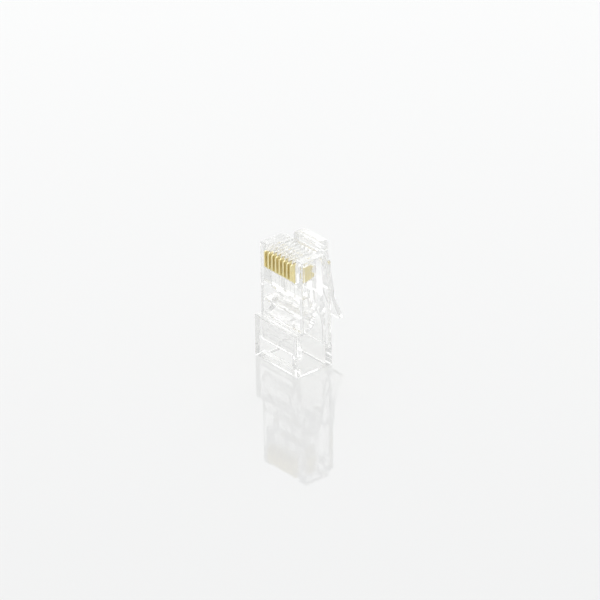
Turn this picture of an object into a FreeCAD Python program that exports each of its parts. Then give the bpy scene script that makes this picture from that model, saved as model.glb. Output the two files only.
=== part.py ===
import FreeCAD, Part
import Sketcher
import math
import os
import re

# RJ45 modular plug for twisted pair cable, as sold: the blades are not yet pressed home.
#
# Frame: X runs across the plug, Z runs along it towards the nose, +Y points to the latch side.
# The origin is the centre of the cable mouth, in the plane of the cable end.
# Every profile is drawn in (Y, Z) with Y counted from the contact face of the upper body, and
# each body is then moved back by the depth of the cable axis under that face.

SIZES = {
    # outer form of the housing
    "body_width": 11.68,
    "body_length": 22.0,
    "body_thick": 6.5,
    "nose_inset": 1.09,
    "nose_step": 1.15,
    "entry_out": 1.5,
    "entry_tall": 8.2,
    "edge_round": 0.22,
    "corner_round": 0.3,
    "rib_round": 0.6,
    # cable cavity and the wire space above it
    "side_wall": 1.3,
    "back_wall": 1.1,
    "entry_wall": 1.2,
    "cavity_tall": 7.8,
    "funnel_round": 2.1,
    "wire_front": 3.2,
    "funnel_lean": 0.8,
    "wire_rise": 2.4,
    # window of the jacket strain relief, and its wedge bar
    "window_low": 1.3,
    "window_high": 6.2,
    "wedge_skin": 0.15,
    "wedge_reach": 0.5,
    "wedge_waist": 1.8,
    "wedge_drop": 3.2,
    # openings in the contact face, as drops from the nose end, and depths under the face
    "rail_width": 0.86,
    "guide_top": 7.3,
    "guide_low": 9.3,
    "guide_depth": 1.76,
    "web_drop": 10.4,
    "web_thick": 0.45,
    "web_slope": 0.15,
    "bar_crest": 11.4,
    "bar_waist": 12.0,
    "bar_knee": 12.8,
    "bar_low": 13.5,
    "bar_crest_depth": 2.7,
    "bar_waist_depth": 1.78,
    "bar_foot_depth": 0.97,
    # comb that holds the contacts
    "contact_count": 8,
    "contact_pitch": 1.02,
    "slot_width": 0.62,
    "slot_depth": 1.25,
    "slot_run": 4.8,
    "slot_shallow": 0.45,
    "lead_drop": 1.45,
    "lead_reach": 1.1,
    "lead_round": 1.5,
    "channel_bore": 0.92,
    "channel_depth": 3.3,
    # contact blade
    "blade_thick": 0.35,
    "blade_proud": 0.8,
    "blade_top": 1.5,
    "blade_low": 4.6,
    "blade_depth": 3.6,
    "blade_round": 0.4,
    "prong_rake": 0.45,
    "prong_root": 1.0,
    "notch_drop": 2.7,
    "lower_prong_drop": 3.45,
    "lower_tip_drop": 4.0,
    "heel_depth": 0.8,
    "blade_play": 0.02,
    # recess under the latch
    "recess_width": 7.0,
    "recess_low": 3.8,
    "recess_mid": 12.3,
    "recess_depth": 0.6,
    # latch root on the housing and the latch lever
    "latch_width": 6.02,
    "root_out": 1.6,
    "root_rise": 1.11,
    "root_round": 0.55,
    "root_front_round": 0.35,
    "strap_thick": 0.85,
    "pivot_drop": 1.25,
    "pivot_play": 0.05,
    "wing_stop": 8.36,
    "wing_reach": 2.25,
    "wing_thick": 1.1,
    "lever_width": 3.25,
    "lever_thick": 0.87,
    "ridge_drop": 1.65,
    "ridge_top_drop": 5.2,
    "ridge_top_reach": 3.22,
    "ridge_round": 7.5,
    "bend_drop": 11.7,
    "bend_reach": 4.25,
    "tip_drop": 16.4,
    "tip_reach": 6.0,
    "tip_round": 0.25,
}

CUT = "1"                    # how far a cut runs past the face it starts from
SINK = "0.3"                 # how far a joined solid runs into the one that carries it
CAVITY_FRONT = "(entry_wall - entry_out)"
CAVITY_BACK = "(body_thick - back_wall)"
NOSE_THICK = "(body_thick - nose_inset)"
CABLE_AXIS = "(%s + %s) / 2" % (CAVITY_FRONT, CAVITY_BACK)
ROOT_OUTSIDE = "(body_thick + root_out)"
PIVOT_DEPTH = "(%s - strap_thick / 2)" % ROOT_OUTSIDE
PIVOT_HEIGHT = "(body_length - pivot_drop)"
SEAT_RADIUS = "(strap_thick / 2 + pivot_play)"
RIB_TOP = "(body_length - nose_step)"

doc = FreeCAD.newDocument("rj45_modular_plug")
sheet = doc.addObject("Spreadsheet::Sheet", "Sheet")
for row, (alias, value) in enumerate(SIZES.items(), start=1):
    sheet.set("A%d" % row, alias)
    sheet.set("B%d" % row, str(value))
    sheet.setAlias("B%d" % row, alias)
workings = doc.addObject("Spreadsheet::Sheet", "Workings")
doc.recompute()


def bound(text):
    """Return an expression with each size name pointed at the sheet."""
    return re.sub(r"[a-z_]+", lambda m: "Sheet." + m.group() if m.group() in SIZES else m.group(), text)


def number(text):
    """Return what an expression of sizes comes to, worked out in a cell of the workings sheet."""
    workings.set("A1", "=" + bound(text))
    workings.recompute()
    return float(workings.get("A1"))


def drop(text):
    """Return the height of a point that lies a given drop below the nose end."""
    return "(body_length - (%s))" % text


def new_body(name):
    body = doc.addObject("PartDesign::Body", name)
    body.Label = name
    body.setExpression("Placement.Base.y", bound("-(%s)" % CABLE_AXIS))
    return body


def new_sketch(body, name, role, offset):
    sketch = body.newObject("Sketcher::SketchObject", name)
    plane = next(item for item in body.Origin.OriginFeatures if item.Role == role)
    sketch.AttachmentSupport = [(plane, "")]
    sketch.MapMode = "FlatFace"
    sketch.setExpression("AttachmentOffset.Base.z", bound(offset))
    return sketch


def constrain(sketch, kind, place, text):
    """Bind one distance of a sketch point from the sketch's origin to an expression."""
    geometry, point = place
    if text == "0":
        axis = -2 if kind == "DistanceX" else -1
        sketch.addConstraint(Sketcher.Constraint("PointOnObject", geometry, point, axis))
        return
    index = sketch.addConstraint(Sketcher.Constraint(kind, -1, 1, geometry, point, number(text)))
    sketch.setExpression("Constraints[%d]" % index, bound(text))


def corner_arc(start, end, radius):
    """Return the arc that bulges right of the way from start to end, or left if radius < 0."""
    chord = end - start
    right = FreeCAD.Vector(chord.y, -chord.x, 0).normalize()
    setback = math.sqrt(max(radius ** 2 - (chord.Length / 2) ** 2, 0))
    centre = (start + end) * 0.5 - right * math.copysign(setback, radius)
    first, last = (start, end) if radius > 0 else (end, start)
    first_angle = math.atan2(first.y - centre.y, first.x - centre.x)
    last_angle = math.atan2(last.y - centre.y, last.x - centre.x)
    if last_angle <= first_angle:
        last_angle += 2 * math.pi
    circle = Part.Circle(centre, FreeCAD.Vector(0, 0, 1), abs(radius))
    return Part.ArcOfCircle(circle, first_angle, last_angle)


def outline_sketch(body, name, outline, offset="0"):
    """Draw a closed outline in (Y, Z), on the middle plane of the plug or offset from it.

    An entry (y, z) starts a straight line and (y, z, radius) starts an arc of less than a half
    turn, which bulges to the right of its travel, or to the left where the radius has a minus.
    """
    sketch = new_sketch(body, name, "YZ_Plane", offset)
    corners = [FreeCAD.Vector(number(entry[0]), number(entry[1]), 0) for entry in outline]
    ends = []
    for i, entry in enumerate(outline):
        start, end = corners[i], corners[(i + 1) % len(corners)]
        if len(entry) == 2:
            sketch.addGeometry(Part.LineSegment(start, end))
            ends.append((1, 2))
        else:
            radius = number(entry[2])
            sketch.addGeometry(corner_arc(start, end, radius))
            ends.append((1, 2) if radius > 0 else (2, 1))
    for i, entry in enumerate(outline):
        following = (i + 1) % len(outline)
        sketch.addConstraint(Sketcher.Constraint("Coincident", i, ends[i][1], following, ends[following][0]))
        constrain(sketch, "DistanceX", (i, ends[i][0]), entry[0])
        constrain(sketch, "DistanceY", (i, ends[i][0]), entry[1])
        if len(entry) == 3:
            radius = entry[2].lstrip("-")
            index = sketch.addConstraint(Sketcher.Constraint("Radius", i, number(radius)))
            sketch.setExpression("Constraints[%d]" % index, bound(radius))
    return sketch


def extrude(body, kind, name, sketch, width):
    """Pad or pocket a sketch of the middle plane equally to both sides, and check that it did."""
    doc.recompute()
    before = body.Shape.Volume if body.Tip else 0.0
    feature = body.newObject("PartDesign::" + kind, name)
    feature.Profile = sketch
    feature.SideType = "Symmetric"
    feature.setExpression("Length", bound(width))
    doc.recompute()
    gain = body.Shape.Volume - before
    if (gain <= 0) if kind == "Pad" else (gain >= 0):
        raise RuntimeError("%s of %s changed the volume by %.4f" % (name, body.Label, gain))
    return feature


def round_edges(body, name, radius, wanted):
    """Fillet the edges of the body's last feature that the test picks."""
    doc.recompute()
    base = body.Tip
    names = ["Edge%d" % (i + 1) for i, edge in enumerate(base.Shape.Edges) if wanted(edge)]
    fillet = body.newObject("PartDesign::Fillet", name)
    fillet.Base = (base, names)
    fillet.setExpression("Radius", bound(radius))
    return fillet


def housing_shell(body):
    """Outer form: the stepped side profile, run across the width, with its side edges broken."""
    outline = [
        ("corner_round - entry_out", "0"),
        ("body_thick - corner_round", "0", "corner_round"),
        ("body_thick", "corner_round"),
        ("body_thick", RIB_TOP + " - rib_round", "rib_round"),
        ("body_thick - rib_round", RIB_TOP),
        (NOSE_THICK, RIB_TOP),
        (NOSE_THICK, "body_length - corner_round", "corner_round"),
        (NOSE_THICK + " - corner_round", "body_length"),
        ("corner_round", "body_length", "corner_round"),
        ("0", "body_length - corner_round"),
        ("0", "entry_tall"),
        ("corner_round - entry_out", "entry_tall", "corner_round"),
        ("-entry_out", "entry_tall - corner_round"),
        ("-entry_out", "corner_round", "corner_round"),
    ]
    extrude(body, "Pad", "shell", outline_sketch(body, "shell_profile", outline), "body_width")

    def on_side(edge):
        return edge.BoundBox.XLength < 1e-6

    round_edges(body, "side_rounds", "edge_round", on_side)


def latch_side(body):
    """Recess under the latch, and the root block that the latch lever hangs from."""
    recess = [
        ("body_thick + " + CUT, "recess_low"),
        ("body_thick - recess_depth", "recess_low"),
        ("body_thick - recess_depth", "recess_mid"),
        (NOSE_THICK, "recess_mid"),
        (NOSE_THICK, "body_length"),
        ("body_thick + " + CUT, "body_length"),
    ]
    extrude(body, "Pocket", "recess", outline_sketch(body, "recess_profile", recess), "recess_width")
    rise = "(body_length + root_rise)"
    root = [
        (NOSE_THICK + " - " + SINK, drop("corner_round + " + SINK)),
        (NOSE_THICK, drop("corner_round")),
        (NOSE_THICK, rise + " - root_front_round", "-root_front_round"),
        (NOSE_THICK + " + root_front_round", rise),
        (ROOT_OUTSIDE + " - root_round", rise, "-root_round"),
        (ROOT_OUTSIDE, rise + " - root_round"),
        (ROOT_OUTSIDE, PIVOT_HEIGHT + " + sqrt(%s ^ 2 - (strap_thick / 2) ^ 2)" % SEAT_RADIUS, SEAT_RADIUS),
        (PIVOT_DEPTH + " - sqrt(%s ^ 2 - (pivot_drop - nose_step) ^ 2)" % SEAT_RADIUS, RIB_TOP),
        (NOSE_THICK + " + root_round", RIB_TOP, "root_round"),
        (NOSE_THICK, RIB_TOP + " - root_round"),
        (NOSE_THICK + " - " + SINK, RIB_TOP + " - root_round"),
    ]
    extrude(body, "Pad", "latch_root", outline_sketch(body, "root_profile", root), "latch_width")


def cable_cavity(body):
    """Cavity for the cable jacket, the funnel above it, the window in its wall and the wedge bar."""
    wire_floor = drop("guide_low")
    cavity = [
        (CAVITY_FRONT, "-" + CUT),
        (CAVITY_BACK, "-" + CUT),
        (CAVITY_BACK, "cavity_tall - corner_round"),
        (CAVITY_BACK + " - funnel_lean", "cavity_tall + wire_rise"),
        ("channel_depth + channel_bore / 2", wire_floor),
        ("wire_front", wire_floor),
        ("wire_front", "cavity_tall + funnel_round", "-funnel_round"),
        ("wire_front - funnel_round", "cavity_tall"),
        (CAVITY_FRONT, "cavity_tall"),
    ]
    inner_width = "body_width - 2 * side_wall"
    extrude(body, "Pocket", "cavity", outline_sketch(body, "cavity_profile", cavity), inner_width)
    window = [
        ("-entry_out - " + CUT, "window_low"),
        (CAVITY_FRONT + " + " + SINK, "window_low"),
        (CAVITY_FRONT + " + " + SINK, "window_high"),
        ("-entry_out - " + CUT, "window_high"),
    ]
    extrude(body, "Pocket", "window", outline_sketch(body, "window_profile", window), inner_width)
    wedge = [
        ("wedge_skin - entry_out", "window_high + " + SINK),
        (CAVITY_FRONT, "window_high + " + SINK),
        (CAVITY_FRONT, "window_high"),
        (CAVITY_FRONT + " + wedge_reach", "window_high - wedge_waist"),
        (CAVITY_FRONT + " + wedge_reach", "window_high - wedge_drop + wedge_reach"),
        (CAVITY_FRONT, "window_high - wedge_drop"),
        ("wedge_skin - entry_out", "window_high - wedge_waist"),
    ]
    sketch = outline_sketch(body, "wedge_profile", wedge)
    extrude(body, "Pad", "wedge_bar", sketch, inner_width + " + 2 * " + SINK)


def wire_guide(body):
    """Openings in the contact face: the wire guide, and the conductor bar under its thin web."""
    opening = [
        ("-" + CUT, drop("guide_top")),
        ("guide_depth", drop("guide_top")),
        ("guide_depth", drop("guide_low")),
        ("wire_front + " + SINK, drop("guide_low")),
        ("wire_front + " + SINK, drop("web_drop")),
        ("bar_crest_depth", drop("web_drop")),
        ("bar_crest_depth", drop("bar_crest")),
        ("bar_waist_depth", drop("bar_waist")),
        ("bar_waist_depth", drop("bar_knee")),
        ("bar_foot_depth", drop("bar_low - web_slope")),
        ("-" + CUT, drop("bar_low")),
    ]
    open_width = "body_width - 2 * rail_width"
    extrude(body, "Pocket", "guide", outline_sketch(body, "guide_profile", opening), open_width)
    web = [
        ("0", drop("web_drop + web_slope")),
        ("bar_crest_depth + " + SINK, drop("web_drop")),
        ("bar_crest_depth + " + SINK, drop("web_drop + web_thick")),
        ("0", drop("web_drop + web_slope + web_thick")),
    ]
    extrude(body, "Pad", "web", outline_sketch(body, "web_profile", web), open_width + " + 2 * " + SINK)


def contact_comb(body):
    """Rounded lead-in, then slots for the blades and bores for the wires, repeated across the plug."""
    first = "-(contact_count - 1) / 2 * contact_pitch"
    lead = [
        ("-" + CUT, drop("lead_drop")),
        ("0", drop("lead_drop"), "-lead_round"),
        ("lead_reach", "body_length"),
        ("lead_reach", "body_length + " + CUT),
        ("-" + CUT, "body_length + " + CUT),
    ]
    lead_sketch = outline_sketch(body, "lead_profile", lead)
    extrude(body, "Pocket", "lead_in", lead_sketch, "contact_count * contact_pitch")
    slot = [
        ("-" + CUT, drop("blade_low + blade_play")),
        ("slot_depth", drop("blade_low + blade_play")),
        ("slot_depth", drop("blade_top")),
        ("slot_run", drop("slot_shallow")),
        ("slot_run", "body_length + " + CUT),
        ("-" + CUT, "body_length + " + CUT),
    ]
    slots = extrude(body, "Pocket", "slot", outline_sketch(body, "slot_profile", slot, first), "slot_width")
    grip = [
        ("slot_depth - " + SINK, drop("blade_low + blade_play")),
        ("blade_depth + blade_play", drop("blade_low + blade_play")),
        ("blade_depth + blade_play", drop("blade_top - blade_play")),
        ("slot_depth - " + SINK, drop("blade_top - blade_play")),
    ]
    grip_sketch = outline_sketch(body, "grip_profile", grip, first)
    grips = extrude(body, "Pocket", "grip", grip_sketch, "blade_thick + 2 * blade_play")
    bore_sketch = new_sketch(body, "bore_profile", "XY_Plane", drop("guide_low + " + CUT))
    circle = Part.Circle(FreeCAD.Vector(number(first), number("channel_depth"), 0),
                         FreeCAD.Vector(0, 0, 1), number("channel_bore / 2"))
    bore_sketch.addGeometry(circle)
    constrain(bore_sketch, "DistanceX", (0, 3), first)
    constrain(bore_sketch, "DistanceY", (0, 3), "channel_depth")
    index = bore_sketch.addConstraint(Sketcher.Constraint("Radius", 0, number("channel_bore / 2")))
    bore_sketch.setExpression("Constraints[%d]" % index, bound("channel_bore / 2"))
    before = body.Shape.Volume
    bores = body.newObject("PartDesign::Pocket", "wire_bore")
    bores.Profile = bore_sketch
    bores.Reversed = True
    bores.setExpression("Length", bound("guide_low - blade_top - channel_bore / 4 + " + CUT))
    doc.recompute()
    if body.Shape.Volume >= before:
        raise RuntimeError("the wire bore cuts nothing")
    pattern = body.newObject("PartDesign::LinearPattern", "comb")
    pattern.Originals = [slots, grips, bores]
    axis = next(item for item in body.Origin.OriginFeatures if item.Role == "X_Axis")
    pattern.Direction = (axis, [""])
    pattern.Mode = "Extent"
    pattern.setExpression("Length", bound("(contact_count - 1) * contact_pitch"))
    pattern.setExpression("Occurrences", bound("contact_count"))
    body.Tip = pattern


def make_housing():
    body = new_body("housing")
    housing_shell(body)
    latch_side(body)
    cable_cavity(body)
    wire_guide(body)
    contact_comb(body)


def make_lever():
    """Latch lever: a knuckle in the root's seat, stop wings, and the narrow lever between them."""
    body = new_body("latch_lever")
    half = "strap_thick / 2"
    stop = drop("wing_stop")
    wings = [
        (PIVOT_DEPTH + " + " + half, PIVOT_HEIGHT, half),
        (PIVOT_DEPTH + " - " + half, PIVOT_HEIGHT),
        ("body_thick + wing_reach - wing_thick", stop),
        ("body_thick + wing_reach", stop),
    ]
    extrude(body, "Pad", "wings", outline_sketch(body, "wing_profile", wings), "latch_width")
    lever = [
        (PIVOT_DEPTH, drop("ridge_drop")),
        (ROOT_OUTSIDE, drop("ridge_drop"), "-ridge_round"),
        ("body_thick + ridge_top_reach", drop("ridge_top_drop")),
        ("body_thick + bend_reach", drop("bend_drop")),
        ("body_thick + tip_reach", drop("tip_drop")),
        ("body_thick + tip_reach - lever_thick", drop("tip_drop")),
        ("body_thick + bend_reach - lever_thick", drop("bend_drop")),
        ("body_thick + wing_reach", stop),
        ("body_thick + wing_reach - wing_thick / 2", stop),
    ]
    extrude(body, "Pad", "lever", outline_sketch(body, "lever_profile", lever), "lever_width")
    tip = number(drop("tip_drop"))

    def at_tip(edge):
        return edge.BoundBox.ZMax < tip + 1e-6

    round_edges(body, "tip_rounds", "tip_round", at_tip)


def make_contact(order):
    """Contact blade: a rounded mating edge in front, two piercing prongs behind."""
    body = new_body("contact_%d" % order)
    body.setExpression("Placement.Base.x", bound("(%d - (contact_count + 1) / 2) * contact_pitch" % order))
    blade = [
        ("-blade_proud", drop("blade_low")),
        ("-blade_proud", drop("blade_top + blade_round"), "-blade_round"),
        ("blade_round - blade_proud", drop("blade_top")),
        ("blade_depth - prong_root", drop("blade_top")),
        ("blade_depth", drop("blade_top + prong_rake")),
        ("blade_depth - prong_root", drop("notch_drop")),
        ("blade_depth", drop("lower_prong_drop")),
        ("blade_depth", drop("lower_tip_drop")),
        ("heel_depth", drop("blade_low")),
    ]
    extrude(body, "Pad", "blade", outline_sketch(body, "blade_profile", blade), "blade_thick")


make_housing()
make_lever()
for order in range(1, SIZES["contact_count"] + 1):
    make_contact(order)
doc.recompute()

failed = [item.Name for item in doc.Objects if "Invalid" in item.State or "Error" in item.State]
if failed:
    raise RuntimeError("objects not built: " + ", ".join(failed))
bodies = [item for item in doc.Objects if item.TypeId == "PartDesign::Body"]
for body in bodies:
    if body.Shape.isNull() or not body.Shape.isValid() or len(body.Shape.Solids) != 1:
        raise RuntimeError("%s is not one valid solid" % body.Label)
os.makedirs("parts", exist_ok=True)
for body in bodies:
    body.Shape.exportStep("parts/%s.step" % body.Label)
    print("%-12s %9.3f mm3" % (body.Label, body.Shape.Volume))
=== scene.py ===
"""Eight-way modular plug in clear polycarbonate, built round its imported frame."""

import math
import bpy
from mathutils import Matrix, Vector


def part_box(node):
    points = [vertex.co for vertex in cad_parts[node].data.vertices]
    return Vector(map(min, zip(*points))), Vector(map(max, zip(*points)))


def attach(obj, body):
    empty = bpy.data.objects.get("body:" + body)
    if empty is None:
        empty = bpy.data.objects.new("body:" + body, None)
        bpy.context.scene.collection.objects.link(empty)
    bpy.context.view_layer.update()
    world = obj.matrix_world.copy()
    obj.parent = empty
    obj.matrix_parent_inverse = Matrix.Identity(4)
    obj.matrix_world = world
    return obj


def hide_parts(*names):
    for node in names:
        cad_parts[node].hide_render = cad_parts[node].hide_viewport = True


bl_info = {
    "name": "Modular plug",
    "version": (1, 0, 0),
    "blender": (4, 5, 0),
    "location": "View3D > Sidebar > Modular plug",
    "description": "Builds the clear housing, latch, gold contacts and studio of a modular plug",
    "category": "Object",
}

import bmesh
import bpy
from mathutils import Matrix, Vector

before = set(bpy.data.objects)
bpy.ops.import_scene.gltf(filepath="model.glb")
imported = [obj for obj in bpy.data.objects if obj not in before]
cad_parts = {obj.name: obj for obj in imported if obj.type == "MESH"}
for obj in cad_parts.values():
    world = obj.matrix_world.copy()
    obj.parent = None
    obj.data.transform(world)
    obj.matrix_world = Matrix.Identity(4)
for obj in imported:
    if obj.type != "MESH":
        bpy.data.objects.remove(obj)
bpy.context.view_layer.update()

MM = 0.001

# forms
WELD = 1e-6
FLAT = math.radians(0.5)
SHARP = math.radians(28)
NARROW = math.radians(15)
BREAK_LENGTH = 12
BREAK_ROOM = 3
BREAK_STEPS = 2
ROUND = 0.5
ARC_STEPS = 6
CONTACTS = sorted(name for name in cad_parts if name.startswith("contact_"))
BLADE_LOW, BLADE_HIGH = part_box(CONTACTS[0])
PITCH = (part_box(CONTACTS[-1])[0][0] - BLADE_LOW[0]) / (len(CONTACTS) - 1)
TONE_SEED = 5

# places down the blade's back edge, as shares of the blade's height
UPPER_TIP = 0.145
NOTCH = 0.387
LOWER_TIP = 0.629
PRONG_FOOT = 0.806

# most of a noise texture lies between these values
NOISE_LOW = 0.3
NOISE_HIGH = 0.7

# clear plastic
PLASTIC_IOR = 1.586
HAZE_GRAIN = 9
HAZE_DETAIL = 4.0
HAZE_SPREAD = 0.02
HAZE_TINT = 0.995
SMOOTHEST = 0.5
ROUGHEST = 2.5
FLOW_HEIGHT = 0.02 * MM
FLOW_BUMP = 0.1

# gold plating
DRAWN_SHAPE = (9, 9, 1)
LINE_GRAIN = 900.0
LINE_DETAIL = 3.0
LINE_HEIGHT = 0.004 * MM
LINE_BUMP = 0.3
PATCH_GRAIN = 1400.0
TONE_SHARE = 0.3
METAL_SHARE = 0.93
GOLD_ROUGHNESS = (0.24, 0.42)

# stage: each wall level is a share of the way from the far wall to the camera, and a colour
WALLS = (
    (0.2, (0.97, 0.975, 0.97)),
    (0.4, (0.87, 0.875, 0.87)),
    (0.6, (0.82, 0.825, 0.82)),
    (0.95, (0.68, 0.69, 0.68)),
)
SKY_STRENGTH = 0.74
FLOOR_COLOUR = (0.888, 0.893, 0.893)
FLOOR_ROUGHNESS = 0.03
ACRYLIC_IOR = 1.49
SOFTBOX_PLACE = (-0.953, 0.774, 0.86)
SOFTBOX_SIZE = 1.6
SOFTBOX_POWER = 8.6
SENSOR_WIDTH = 36.0
VIEW_DEPTH = 100.0
BOUNCES = 64


# ---------------------------------------------------------------- settings

class PlasticSettings(bpy.types.PropertyGroup):
    tint: bpy.props.FloatVectorProperty(
        name="Tint", description="Colour that the clear plastic lets through",
        default=(0.999, 0.999, 0.995), size=3, subtype="COLOR", min=0, max=1)
    depth_tint: bpy.props.FloatVectorProperty(
        name="Depth tint", description="Colour that thick plastic takes on",
        default=(0.5, 0.5, 0.42), size=3, subtype="COLOR", min=0, max=1)
    depth_density: bpy.props.FloatProperty(
        name="Depth density", description="How fast thick plastic darkens, per metre",
        default=2.0, min=0)
    flow_grain: bpy.props.FloatProperty(
        name="Flow grain", description="Waves per metre in the moulded faces",
        default=260.0, min=0)
    channel_width: bpy.props.FloatProperty(
        name="Channel width", description="Side of the square wire channels",
        default=0.94 * MM, unit="LENGTH", min=0)
    channel_back: bpy.props.FloatProperty(
        name="Channel back", description="Distance of the channels' middle in front of the prong tips",
        default=0.3 * MM, unit="LENGTH")
    channel_top: bpy.props.FloatProperty(
        name="Channel top", description="Distance of the channels' upper end below the blades' upper edge",
        default=0.23 * MM, unit="LENGTH")
    channel_length: bpy.props.FloatProperty(
        name="Channel length", description="Length of the wire channels",
        default=7.87 * MM, unit="LENGTH", min=0)
    edge_break: bpy.props.FloatProperty(
        name="Edge break", description="Width of the moulded break on each long sharp edge",
        default=0.05 * MM, unit="LENGTH", min=0)
    roughness: bpy.props.FloatProperty(
        name="Roughness", description="Roughness of the polished tool faces",
        default=0.02, min=0, max=1)
    clarity: bpy.props.FloatProperty(
        name="Clarity", description="Share of light that passes an outer face unscattered",
        default=0.92, min=0, max=1)


class ContactSettings(bpy.types.PropertyGroup):
    pitch: bpy.props.FloatProperty(
        name="Pitch", description="Distance from one blade to the next",
        default=PITCH, unit="LENGTH", min=0)
    crown: bpy.props.FloatProperty(
        name="Crown", description="Rise of the mating edge above the prongs' upper edge",
        default=0.65 * MM, unit="LENGTH", min=0)
    crown_reach: bpy.props.FloatProperty(
        name="Crown reach", description="Depth from the mating edge to the foot of the crown",
        default=1.7 * MM, unit="LENGTH", min=0)
    crown_round: bpy.props.FloatProperty(
        name="Crown round", description="Radius between the mating edge and the crown",
        default=0.4 * MM, unit="LENGTH", min=0)
    toe: bpy.props.FloatProperty(
        name="Toe", description="Size of the slant at the blade's lower front corner",
        default=0.8 * MM, unit="LENGTH", min=0)
    heel: bpy.props.FloatProperty(
        name="Heel", description="Depth from the mating edge to the end of the level lower edge",
        default=1.6 * MM, unit="LENGTH", min=0)
    prong: bpy.props.FloatProperty(
        name="Prong", description="Length of the two piercing prongs",
        default=1.0 * MM, unit="LENGTH", min=0)
    edge_break: bpy.props.FloatProperty(
        name="Edge break", description="Width of the rolled edge of the stamped blades",
        default=0.03 * MM, unit="LENGTH", min=0)
    gold: bpy.props.FloatVectorProperty(
        name="Gold", description="Colour of the plating",
        default=(1.0, 0.86, 0.43), size=3, subtype="COLOR", min=0, max=1)
    pale_gold: bpy.props.FloatVectorProperty(
        name="Pale gold", description="Colour of the plating where it is thinner",
        default=(1.0, 0.9, 0.53), size=3, subtype="COLOR", min=0, max=1)


class StageSettings(bpy.types.PropertyGroup):
    azimuth: bpy.props.FloatProperty(
        name="Azimuth", description="Direction of the camera round the plug",
        default=math.radians(50.94), subtype="ANGLE", unit="ROTATION")
    elevation: bpy.props.FloatProperty(
        name="Elevation", description="Height of the camera above the floor, as an angle",
        default=math.radians(27.71), subtype="ANGLE", unit="ROTATION")
    roll: bpy.props.FloatProperty(
        name="Roll", description="Turn of the camera about its own axis",
        default=math.radians(-0.86), subtype="ANGLE", unit="ROTATION")
    distance: bpy.props.FloatProperty(
        name="Distance", description="Distance of the camera from the cable mouth",
        default=1.0861, unit="LENGTH", min=0)
    aim_right: bpy.props.FloatProperty(
        name="Aim right", description="How far the view's centre lies right of the origin",
        default=1.225 * MM, unit="LENGTH")
    aim_up: bpy.props.FloatProperty(
        name="Aim up", description="How far the view's centre lies above the origin",
        default=10.467 * MM, unit="LENGTH")
    lens: bpy.props.FloatProperty(
        name="Lens", description="Focal length for a 36 mm sensor, in millimetres",
        default=371.6, min=1)
    floor_size: bpy.props.FloatProperty(
        name="Floor size", description="Side of the square floor",
        default=8.0, unit="LENGTH", min=0)


def settings():
    """Return the plastic's, the contacts' and the stage's settings."""
    scene = bpy.context.scene
    return scene.plug_plastic, scene.plug_contacts, scene.plug_stage


# ---------------------------------------------------------------- materials

def new_material(name):
    """Return an empty node material and its output node."""
    material = bpy.data.materials.new(name)
    material.use_nodes = True
    material.node_tree.nodes.clear()
    output = material.node_tree.nodes.new("ShaderNodeOutputMaterial")
    return material, output


def add(tree, kind, **values):
    """Add a node to a tree, with its inputs set by name."""
    node = tree.nodes.new(kind)
    for key, value in values.items():
        node.inputs[key.replace("_", " ")].default_value = value
    return node


def noise(tree, place, scale, detail=2.0):
    """Add a noise texture that reads a place, and return its value."""
    node = add(tree, "ShaderNodeTexNoise", Scale=scale, Detail=detail)
    tree.links.new(place, node.inputs["Vector"])
    return node.outputs["Fac"]


def spread(tree, value, low, high):
    """Return a noise value, spread between two others."""
    node = add(tree, "ShaderNodeMapRange", From_Min=NOISE_LOW, From_Max=NOISE_HIGH, To_Min=low, To_Max=high)
    tree.links.new(value, node.inputs["Value"])
    return node.outputs["Result"]


def blend(tree, value, first, second):
    """Return a colour that a noise value sets between two others."""
    ramp = tree.nodes.new("ShaderNodeValToRGB")
    ramp.color_ramp.elements[0].position = NOISE_LOW
    ramp.color_ramp.elements[0].color = (*first, 1)
    ramp.color_ramp.elements[1].position = NOISE_HIGH
    ramp.color_ramp.elements[1].color = (*second, 1)
    tree.links.new(value, ramp.inputs[0])
    return ramp.outputs["Color"]


def bump(tree, height, distance, strength):
    """Return the normal of a face raised by a value."""
    node = add(tree, "ShaderNodeBump", Distance=distance, Strength=strength)
    tree.links.new(height, node.inputs["Height"])
    return node.outputs["Normal"]


def greater(tree, first, second):
    """Return the greater of two values."""
    node = tree.nodes.new("ShaderNodeMath")
    node.operation = "MAXIMUM"
    tree.links.new(first, node.inputs[0])
    tree.links.new(second, node.inputs[1])
    return node.outputs[0]


def mixed(tree, share, first, second):
    """Return the mix of two shaders, where a share of 1 gives the second."""
    node = tree.nodes.new("ShaderNodeMixShader")
    tree.links.new(share, node.inputs[0])
    tree.links.new(first.outputs[0], node.inputs[1])
    tree.links.new(second.outputs[0], node.inputs[2])
    return node.outputs[0]


def moulded_face(tree, plastic):
    """Return the shader of a polished face, with haze only where light enters the plastic."""
    place = tree.nodes.new("ShaderNodeTexCoord").outputs["Object"]
    flow = noise(tree, place, plastic.flow_grain)
    haze = noise(tree, place, plastic.flow_grain * HAZE_GRAIN, HAZE_DETAIL)
    entering = spread(tree, haze, plastic.clarity - HAZE_SPREAD, plastic.clarity + HAZE_SPREAD)
    leaving = tree.nodes.new("ShaderNodeNewGeometry").outputs["Backfacing"]
    hazy_tint = [part * HAZE_TINT for part in plastic.tint]
    tint = blend(tree, haze, plastic.tint, hazy_tint)
    roughness = spread(tree, haze, plastic.roughness * SMOOTHEST, plastic.roughness * ROUGHEST)
    shader = add(tree, "ShaderNodeBsdfPrincipled", IOR=PLASTIC_IOR)
    tree.links.new(greater(tree, entering, leaving), shader.inputs["Transmission Weight"])
    tree.links.new(tint, shader.inputs["Base Color"])
    tree.links.new(roughness, shader.inputs["Roughness"])
    tree.links.new(bump(tree, flow, FLOW_HEIGHT, FLOW_BUMP), shader.inputs["Normal"])
    return shader


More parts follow.
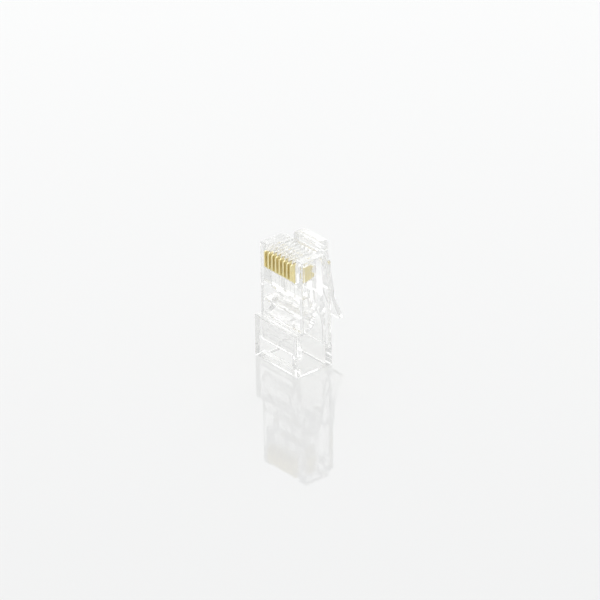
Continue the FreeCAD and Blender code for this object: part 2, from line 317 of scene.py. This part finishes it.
def polycarbonate():
    """Clear plastic with slow flow waves and a warm grey depth, which lets lamp light straight through."""
    plastic = settings()[0]
    material, output = new_material("clear_polycarbonate")
    tree = material.node_tree
    straight = add(tree, "ShaderNodeBsdfTransparent", Color=(*plastic.tint, 1))
    path = tree.nodes.new("ShaderNodeLightPath")
    soft = greater(tree, path.outputs["Is Shadow Ray"], path.outputs["Is Diffuse Ray"])
    surface = mixed(tree, soft, moulded_face(tree, plastic), straight)
    tree.links.new(surface, output.inputs["Surface"])
    depth = tree.nodes.new("ShaderNodeVolumeAbsorption")
    depth.inputs["Color"].default_value = (*plastic.depth_tint, 1)
    depth.inputs["Density"].default_value = plastic.depth_density
    tree.links.new(depth.outputs[0], output.inputs["Volume"])
    return material


def own_tone(tree, patches):
    """Return the patches in the plating, moved on by the tone of the blade they are on."""
    tone = tree.nodes.new("ShaderNodeAttribute")
    tone.attribute_name = "tone"
    both = tree.nodes.new("ShaderNodeMath")
    both.operation = "MULTIPLY_ADD"
    tree.links.new(tone.outputs["Fac"], both.inputs[0])
    both.inputs[1].default_value = TONE_SHARE
    tree.links.new(patches, both.inputs[2])
    return both.outputs[0]


def gold_plate():
    """Gold over stamped strip: drawn lines down each blade, and a tone of its own for each."""
    contact = settings()[1]
    material, output = new_material("gold_plate")
    tree = material.node_tree
    place = tree.nodes.new("ShaderNodeTexCoord").outputs["Object"]
    drawn = add(tree, "ShaderNodeMapping", Scale=DRAWN_SHAPE)
    tree.links.new(place, drawn.inputs["Vector"])
    lines = noise(tree, drawn.outputs["Vector"], LINE_GRAIN, LINE_DETAIL)
    tone = own_tone(tree, noise(tree, place, PATCH_GRAIN))
    colour = blend(tree, tone, contact.gold, contact.pale_gold)
    shader = add(tree, "ShaderNodeBsdfPrincipled", Metallic=METAL_SHARE)
    tree.links.new(colour, shader.inputs["Base Color"])
    tree.links.new(spread(tree, lines, *GOLD_ROUGHNESS), shader.inputs["Roughness"])
    tree.links.new(bump(tree, lines, LINE_HEIGHT, LINE_BUMP), shader.inputs["Normal"])
    tree.links.new(shader.outputs[0], output.inputs["Surface"])
    return material


# ---------------------------------------------------------------- forms

def row_tree():
    """Return a Geometry Nodes tree that repeats a form across the plug, with a tone for each copy."""
    tree = bpy.data.node_groups.new("contact_row", "GeometryNodeTree")
    sockets = {}
    for name, kind in (("Form", "Geometry"), ("Count", "Int"), ("Pitch", "Float"), ("Seed", "Int"),
                       ("Finish", "Material")):
        sockets[name] = tree.interface.new_socket(name, in_out="INPUT", socket_type="NodeSocket" + kind)
    tree.interface.new_socket("Row", in_out="OUTPUT", socket_type="NodeSocketGeometry")
    given = tree.nodes.new("NodeGroupInput")
    result = tree.nodes.new("NodeGroupOutput")
    step = tree.nodes.new("ShaderNodeCombineXYZ")
    places = tree.nodes.new("GeometryNodeMeshLine")
    tone = tree.nodes.new("FunctionNodeRandomValue")
    marked = tree.nodes.new("GeometryNodeStoreNamedAttribute")
    marked.inputs["Name"].default_value = "tone"
    copies = tree.nodes.new("GeometryNodeInstanceOnPoints")
    real = tree.nodes.new("GeometryNodeRealizeInstances")
    finish = tree.nodes.new("GeometryNodeSetMaterial")
    value = next(socket for socket in tone.outputs if socket.type == "VALUE" and socket.enabled)
    for start, end in (
            (given.outputs["Pitch"], step.inputs["X"]),
            (given.outputs["Count"], places.inputs["Count"]),
            (step.outputs[0], places.inputs["Offset"]),
            (given.outputs["Seed"], tone.inputs["Seed"]),
            (places.outputs[0], marked.inputs["Geometry"]),
            (value, marked.inputs["Value"]),
            (marked.outputs[0], copies.inputs["Points"]),
            (given.outputs["Form"], copies.inputs["Instance"]),
            (copies.outputs[0], real.inputs[0]),
            (real.outputs[0], finish.inputs["Geometry"]),
            (given.outputs["Finish"], finish.inputs["Material"]),
            (finish.outputs[0], result.inputs[0])):
        tree.links.new(start, end)
    return tree, sockets


def repeat(piece, tree, sockets, material):
    """Turn a piece into the row of its copies, as a plain mesh."""
    row = piece.modifiers.new("row", "NODES")
    row.node_group = tree
    row[sockets["Count"].identifier] = len(CONTACTS)
    row[sockets["Pitch"].identifier] = settings()[1].pitch
    row[sockets["Seed"].identifier] = TONE_SEED
    row[sockets["Finish"].identifier] = material
    apply(piece)


def apply(piece):
    """Replace a piece's mesh with what its modifiers make of it."""
    ready = bpy.context.evaluated_depsgraph_get()
    mesh = bpy.data.meshes.new_from_object(
        piece.evaluated_get(ready), preserve_all_data_layers=True, depsgraph=ready)
    piece.modifiers.clear()
    piece.data = mesh


def new_piece(name, form):
    """Make an object of a bmesh form, which is then freed."""
    mesh = bpy.data.meshes.new(name)
    form.to_mesh(mesh)
    form.free()
    piece = bpy.data.objects.new(name, mesh)
    bpy.context.scene.collection.objects.link(piece)
    return piece


def blade_outline():
    """Return the blade's outline as (y, z) points, from the heel round by the mating edge."""
    contact = settings()[1]
    front, back = BLADE_LOW[1], BLADE_HIGH[1]
    low, top = BLADE_LOW[2], BLADE_HIGH[2]
    tall = top - low
    crest = top + contact.crown
    bend = contact.crown_round
    root = back - contact.prong
    turns = [math.pi / 2 * step / ARC_STEPS for step in range(ARC_STEPS + 1)]
    mating = [(front + bend * (1 - math.cos(turn)), crest - bend * (1 - math.sin(turn))) for turn in turns]
    return [
        (front + contact.heel, low),
        (front + contact.toe, low),
        (front, low + contact.toe),
        *mating,
        (front + contact.crown_reach, top),
        (root, top),
        (back, top - UPPER_TIP * tall),
        (root, top - NOTCH * tall),
        (back, top - LOWER_TIP * tall),
        (back, top - PRONG_FOOT * tall),
    ]


def settled(form):
    """Rebuild a form with its points and faces in an order that is the same on each run.

    Bevelling may start a face of four at either end of its diagonal, so the lower start is taken.
    """
    places = sorted(vert.co[:] for vert in form.verts)
    number = {place: index for index, place in enumerate(places)}
    rings = []
    for face in form.faces:
        ring = [number[vert.co[:]] for vert in face.verts]
        if len(ring) == 4:
            ring = min(ring, ring[2:] + ring[:2])
        rings.append(ring)
    form.free()
    fresh = bmesh.new()
    points = [fresh.verts.new(place) for place in places]
    for ring in sorted(rings):
        fresh.faces.new([points[index] for index in ring])
    return fresh


def blade():
    """Make the first blade, with its edges rolled by the stamping."""
    form = bmesh.new()
    outline = [form.verts.new((BLADE_LOW[0], y, z)) for y, z in blade_outline()]
    near = form.faces.new(outline)
    grown = bmesh.ops.extrude_face_region(form, geom=[near])["geom"]
    far = [item for item in grown if isinstance(item, bmesh.types.BMVert)]
    bmesh.ops.translate(form, verts=far, vec=(BLADE_HIGH[0] - BLADE_LOW[0], 0, 0))
    bmesh.ops.recalc_face_normals(form, faces=form.faces)
    rim = [edge for edge in form.edges if edge.calc_face_angle() > SHARP]
    bmesh.ops.bevel(form, geom=rim, offset=settings()[1].edge_break, segments=BREAK_STEPS, profile=ROUND,
                    affect="EDGES")
    return new_piece("contact_blades", settled(form))


def channel():
    """Make the square form that is cut out for the first wire channel."""
    plastic = settings()[0]
    middle = (BLADE_LOW[0] + BLADE_HIGH[0]) / 2
    depth = BLADE_HIGH[1] - plastic.channel_back
    top = BLADE_HIGH[2] - plastic.channel_top
    form = bmesh.new()
    scale = Matrix.Diagonal((plastic.channel_width, plastic.channel_width, plastic.channel_length, 1))
    place = Matrix.Translation((middle, depth, top - plastic.channel_length / 2))
    bmesh.ops.create_cube(form, size=1, matrix=place @ scale)
    return new_piece("channel", form)


def has_room(edge, width):
    """Tell whether a break fits: a long edge that meets no short edge and no narrow corner."""
    nearby = [link.calc_length() for vert in edge.verts for link in vert.link_edges]
    ends = [loop for face in edge.link_faces for loop in face.loops if loop.vert in edge.verts]
    if edge.calc_length() <= BREAK_LENGTH * width or min(nearby) <= BREAK_ROOM * width:
        return False
    return min(loop.calc_angle() for loop in ends) > NARROW


def mark_edges(form, width):
    """Mark the edges that are sharp, and those of them with room for a break."""
    weight = form.edges.layers.float.new("bevel_weight_edge")
    for face in form.faces:
        face.smooth = True
    for edge in form.edges:
        edge.smooth = edge.calc_face_angle(0) < SHARP
        if not edge.smooth and has_room(edge, width):
            edge[weight] = 1.0


def joined_copy(node):
    """Copy a CAD piece, with its loose triangles joined."""
    form = bmesh.new()
    form.from_mesh(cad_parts[node].data)
    bmesh.ops.remove_doubles(form, verts=form.verts, dist=WELD)
    return new_piece(node + "_moulding", form)


def cut_out(piece, cutter):
    """Take another piece's form out of a piece."""
    cut = piece.modifiers.new("channels", "BOOLEAN")
    cut.operation = "DIFFERENCE"
    cut.solver = "EXACT"
    cut.object = cutter
    apply(piece)


def plan_faces(piece, width):
    """Join the triangles of each flat face, and mark the edges between the faces."""
    form = bmesh.new()
    form.from_mesh(piece.data)
    bmesh.ops.remove_doubles(form, verts=form.verts, dist=WELD)
    bmesh.ops.dissolve_limit(form, angle_limit=FLAT, verts=form.verts, edges=form.edges)
    mark_edges(form, width)
    form.to_mesh(piece.data)
    form.free()


def break_edges(piece, width):
    """Break the marked edges, and shade the flat faces flat."""
    bevel = piece.modifiers.new("edge_break", "BEVEL")
    bevel.width = width
    bevel.segments = BREAK_STEPS
    bevel.limit_method = "WEIGHT"
    bevel.use_clamp_overlap = False
    shade = piece.modifiers.new("even_shade", "WEIGHTED_NORMAL")
    shade.keep_sharp = True


def moulding(node, body, material, cutter=None):
    """Remake a moulded CAD piece with joined faces and a small break on each long sharp edge."""
    width = settings()[0].edge_break
    piece = joined_copy(node)
    if cutter:
        cut_out(piece, cutter)
    plan_faces(piece, width)
    piece.data.materials.clear()
    piece.data.materials.append(material)
    break_edges(piece, width)
    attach(piece, body)
    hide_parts(node)


# ---------------------------------------------------------------- operators

class PLUG_OT_housing(bpy.types.Operator):
    """Make the clear housing, with its wire channels squared"""
    bl_idname = "plug.housing"
    bl_label = "Housing"

    def execute(self, context):
        material = polycarbonate()
        cutter = channel()
        repeat(cutter, *row_tree(), material)
        moulding("housing", "plug", material, cutter)
        bpy.data.objects.remove(cutter)
        return {"FINISHED"}


class PLUG_OT_latch(bpy.types.Operator):
    """Make the latch lever, in the housing's plastic"""
    bl_idname = "plug.latch"
    bl_label = "Latch"

    def execute(self, context):
        material = bpy.data.objects["housing_moulding"].active_material
        moulding("latch_lever", "latch", material)
        return {"FINISHED"}


class PLUG_OT_contacts(bpy.types.Operator):
    """Make the row of gold blades"""
    bl_idname = "plug.contacts"
    bl_label = "Contacts"

    def execute(self, context):
        piece = blade()
        repeat(piece, *row_tree(), gold_plate())
        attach(piece, "plug")
        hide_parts(*CONTACTS)
        return {"FINISHED"}


def view_axes(stage):
    """Return the camera's back, right and up directions, before its roll."""
    az, el = stage.azimuth, stage.elevation
    back = Vector((math.sin(az) * math.cos(el), -math.cos(az) * math.cos(el), math.sin(el)))
    right = Vector((math.cos(az), math.sin(az), 0))
    return back, right, back.cross(right)


def add_camera(stage):
    """Add the camera, aimed from the settings."""
    back, right, up = view_axes(stage)
    data = bpy.data.cameras.new("camera")
    data.lens = stage.lens
    data.sensor_width = SENSOR_WIDTH
    data.clip_end = VIEW_DEPTH
    camera = bpy.data.objects.new("camera", data)
    bpy.context.scene.collection.objects.link(camera)
    place = back * stage.distance + right * stage.aim_right + up * stage.aim_up
    turn = Matrix((right, up, back)).transposed().to_4x4()
    camera.matrix_world = Matrix.Translation(place) @ turn @ Matrix.Rotation(stage.roll, 4, "Z")
    bpy.context.scene.camera = camera


def add_floor(stage):
    """Add the sheet of white acrylic that the plug stands on."""
    half = stage.floor_size / 2
    mesh = bpy.data.meshes.new("floor")
    corners = [(-half, -half, 0), (half, -half, 0), (half, half, 0), (-half, half, 0)]
    mesh.from_pydata(corners, [], [(0, 1, 2, 3)])
    floor = bpy.data.objects.new("floor", mesh)
    bpy.context.scene.collection.objects.link(floor)
    material, output = new_material("white_acrylic")
    tree = material.node_tree
    shader = add(tree, "ShaderNodeBsdfPrincipled", Roughness=FLOOR_ROUGHNESS, IOR=ACRYLIC_IOR)
    shader.inputs["Base Color"].default_value = (*FLOOR_COLOUR, 1)
    tree.links.new(shader.outputs[0], output.inputs["Surface"])
    mesh.materials.append(material)


def wall_colour(tree):
    """Return the colour of the studio's walls: pale behind the plug, darker towards the camera."""
    back = view_axes(settings()[2])[0]
    towards = tree.nodes.new("ShaderNodeVectorMath")
    towards.operation = "DOT_PRODUCT"
    towards.inputs[1].default_value = Vector((back.x, back.y, 0)).normalized()
    place = tree.nodes.new("ShaderNodeTexCoord")
    tree.links.new(place.outputs["Generated"], towards.inputs[0])
    share = add(tree, "ShaderNodeMapRange", From_Min=-1.0)
    tree.links.new(towards.outputs["Value"], share.inputs["Value"])
    ramp = tree.nodes.new("ShaderNodeValToRGB")
    tree.links.new(share.outputs["Result"], ramp.inputs[0])
    levels = ramp.color_ramp.elements
    for position, colour in WALLS:
        level = levels.new(position)
        level.color = (*colour, 1)
    levels.remove(levels[-1])
    levels.remove(levels[0])
    return ramp.outputs[0]


def add_world():
    """Light the plug evenly, and show the walls to the camera and in the metal and plastic."""
    world = bpy.data.worlds.new("studio")
    bpy.context.scene.world = world
    world.use_nodes = True
    tree = world.node_tree
    tree.nodes.clear()
    output = tree.nodes.new("ShaderNodeOutputWorld")
    light = add(tree, "ShaderNodeBackground", Color=(1, 1, 1, 1), Strength=SKY_STRENGTH)
    walls = add(tree, "ShaderNodeBackground", Strength=1.0)
    tree.links.new(wall_colour(tree), walls.inputs["Color"])
    path = tree.nodes.new("ShaderNodeLightPath")
    turned = greater(tree, path.outputs["Is Transmission Ray"], path.outputs["Is Glossy Ray"])
    seen = greater(tree, path.outputs["Is Camera Ray"], turned)
    tree.links.new(mixed(tree, seen, light, walls), output.inputs["Surface"])


def add_lamp(name, place, size, power):
    """Add a square soft light that faces the plug."""
    data = bpy.data.lights.new(name, "AREA")
    data.size = size
    data.energy = power
    lamp = bpy.data.objects.new(name, data)
    bpy.context.scene.collection.objects.link(lamp)
    away = Vector(place)
    lamp.matrix_world = Matrix.Translation(away) @ away.to_track_quat("Z", "Y").to_matrix().to_4x4()


class PLUG_OT_stage(bpy.types.Operator):
    """Add the floor, the light and the camera"""
    bl_idname = "plug.stage"
    bl_label = "Stage"

    def execute(self, context):
        stage = settings()[2]
        add_camera(stage)
        add_floor(stage)
        add_world()
        add_lamp("back_softbox", SOFTBOX_PLACE, SOFTBOX_SIZE, SOFTBOX_POWER)
        context.scene.view_settings.view_transform = "Standard"
        for kind in ("max_bounces", "transmission_bounces", "glossy_bounces", "transparent_max_bounces"):
            setattr(context.scene.cycles, kind, BOUNCES)
        return {"FINISHED"}


class PLUG_PT_panel(bpy.types.Panel):
    """Lists the steps of the plug"""
    bl_idname = "PLUG_PT_panel"
    bl_label = "Modular plug"
    bl_space_type = "VIEW_3D"
    bl_region_type = "UI"
    bl_category = "Modular plug"

    def draw(self, context):
        for operator in OPERATORS:
            self.layout.operator(operator.bl_idname)


GROUPS = {"plug_plastic": PlasticSettings, "plug_contacts": ContactSettings, "plug_stage": StageSettings}
OPERATORS = (PLUG_OT_housing, PLUG_OT_latch, PLUG_OT_contacts, PLUG_OT_stage)


def register():
    for name, group in GROUPS.items():
        bpy.utils.register_class(group)
        setattr(bpy.types.Scene, name, bpy.props.PointerProperty(type=group))
    for item in (*OPERATORS, PLUG_PT_panel):
        bpy.utils.register_class(item)


def unregister():
    for item in (PLUG_PT_panel, *OPERATORS):
        bpy.utils.unregister_class(item)
    for name, group in GROUPS.items():
        delattr(bpy.types.Scene, name)
        bpy.utils.unregister_class(group)


def main():
    register()
    bpy.ops.plug.housing()
    bpy.ops.plug.latch()
    bpy.ops.plug.contacts()
    bpy.ops.plug.stage()


if __name__ == "__main__":
    main()
